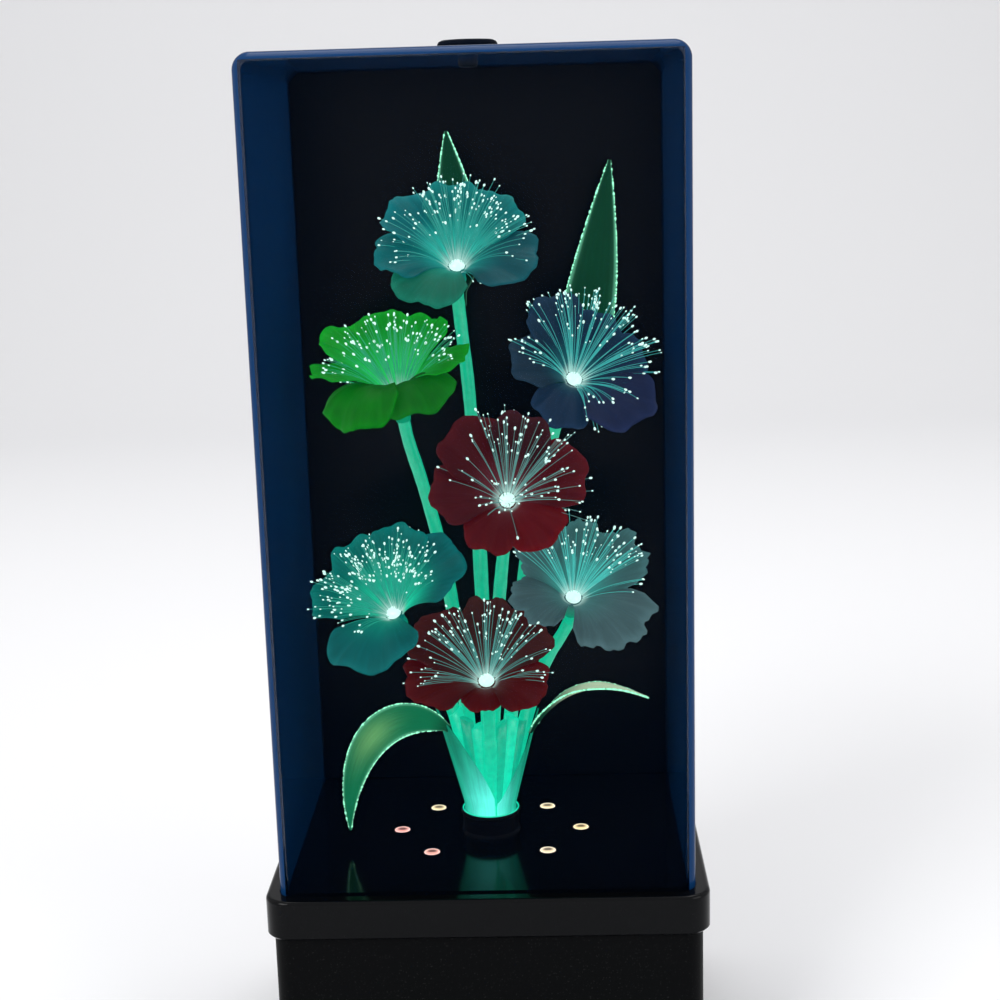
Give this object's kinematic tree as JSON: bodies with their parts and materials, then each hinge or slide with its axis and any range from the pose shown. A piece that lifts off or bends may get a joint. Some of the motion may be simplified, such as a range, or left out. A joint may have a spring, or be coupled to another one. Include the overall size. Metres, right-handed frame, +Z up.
{
  "type": "fiber_optic_lamp",
  "caption": "Fibre-optic flower lamp: glowing blooms on stems under a blue-tinted acrylic cover, on a black base with a colour wheel",
  "frame": {"origin": "centre of the bounding box in X and Y, on the plane that the rubber feet stand on", "axes": "+Z up, the longest extent; +X to the right and +Y to the rear as seen from the front, where the bouquet looks"},
  "size_m": [0.16, 0.128, 0.3834],
  "materials": {
    "shell_plastic": "black moulded plastic, polished",
    "deck_plastic": "black high-gloss plastic",
    "panel_plastic": "near-black glossy panel",
    "acrylic": "clear acrylic, tinted blue",
    "knob_plastic": "dark navy, satin",
    "rubber": "black rubber",
    "steel": "plain steel",
    "brass": "turned brass",
    "fibre": "clear optical fibre, lit from below",
    "stem_sleeve": "translucent teal sleeve, lit from inside",
    "petal_teal": "thin translucent sheet, teal",
    "petal_green": "thin translucent sheet, green",
    "petal_blue": "thin translucent sheet, grey-blue",
    "petal_red": "thin translucent sheet, dark red",
    "leaf_sheet": "thin translucent sheet, dark green",
    "ceramic_block": "white ceramic",
    "lamp_glass": "clear glass capsule",
    "mirror": "faceted mirror",
    "wheel_plastic": "black plastic",
    "filter_red": "red filter sheet",
    "filter_amber": "amber filter sheet",
    "filter_green": "green filter sheet",
    "filter_blue": "blue filter sheet",
    "rocker_plastic": "black plastic",
    "inlet": "nickel plate",
    "lead": "grey lead insulation"
  },
  "bodies": {
    "base": {"base_body": "shell_plastic", "bottom_plate": "shell_plastic", "switch_housing": "shell_plastic", "deck_lid": "deck_plastic", "bundle_collar": "knob_plastic", "foot_front_left": "rubber", "foot_front_right": "rubber", "foot_rear_left": "rubber", "foot_rear_right": "rubber", "bottom_screws": "steel", "deck_screws": "steel", "motor_screws": "steel", "switch_pin": "steel", "motor": "steel", "lamp_bracket": "steel", "bundle_ferrule": "brass", "fibre_trunk": "fibre", "top_spray": "fibre", "upper_left_spray": "fibre", "upper_right_spray": "fibre", "centre_spray": "fibre", "lower_left_spray": "fibre", "lower_right_spray": "fibre", "front_spray": "fibre", "top_stem": "stem_sleeve", "upper_left_stem": "stem_sleeve", "upper_right_stem": "stem_sleeve", "centre_stem": "stem_sleeve", "lower_left_stem": "stem_sleeve", "lower_right_stem": "stem_sleeve", "front_stem": "stem_sleeve", "top_corolla": "petal_teal", "lower_left_corolla": "petal_teal", "lower_right_corolla": "petal_teal", "upper_left_corolla": "petal_green", "upper_right_corolla": "petal_blue", "centre_corolla": "petal_red", "front_corolla": "petal_red", "tall_left_leaf": "leaf_sheet", "tall_right_leaf": "leaf_sheet", "low_left_leaf": "leaf_sheet", "low_right_leaf": "leaf_sheet", "lamp_socket": "ceramic_block", "bulb": "lamp_glass", "reflector": "mirror", "power_jack": "inlet", "jack_nut": "inlet", "internal_leads": "lead"},
    "cover": {"cover": "acrylic", "back_panel": "panel_plastic", "lift_knob": "knob_plastic", "knob_screw": "steel"},
    "wheel": {"wheel_frame": "wheel_plastic", "wheel_hub": "wheel_plastic", "filter_red": "filter_red", "filter_amber": "filter_amber", "filter_green": "filter_green", "filter_blue": "filter_blue", "motor_shaft": "steel"},
    "rocker": {"switch_rocker": "rocker_plastic"}
  },
  "joints": [
    {"name": "cover_lift", "type": "slide", "parent": "base", "child": "cover", "axis": [0, 0, 1], "range_m": [0, 0.32]},
    {"name": "wheel_spin", "type": "hinge", "parent": "base", "child": "wheel", "pos_m": [0.028, 0, 0.047], "axis": [0, 0, 1], "continuous": true},
    {"name": "power_rocker", "type": "hinge", "parent": "base", "child": "rocker", "pos_m": [-0.042, 0.0583, 0.034], "axis": [1, 0, 0], "range_deg": [0, 20]}
  ]
}
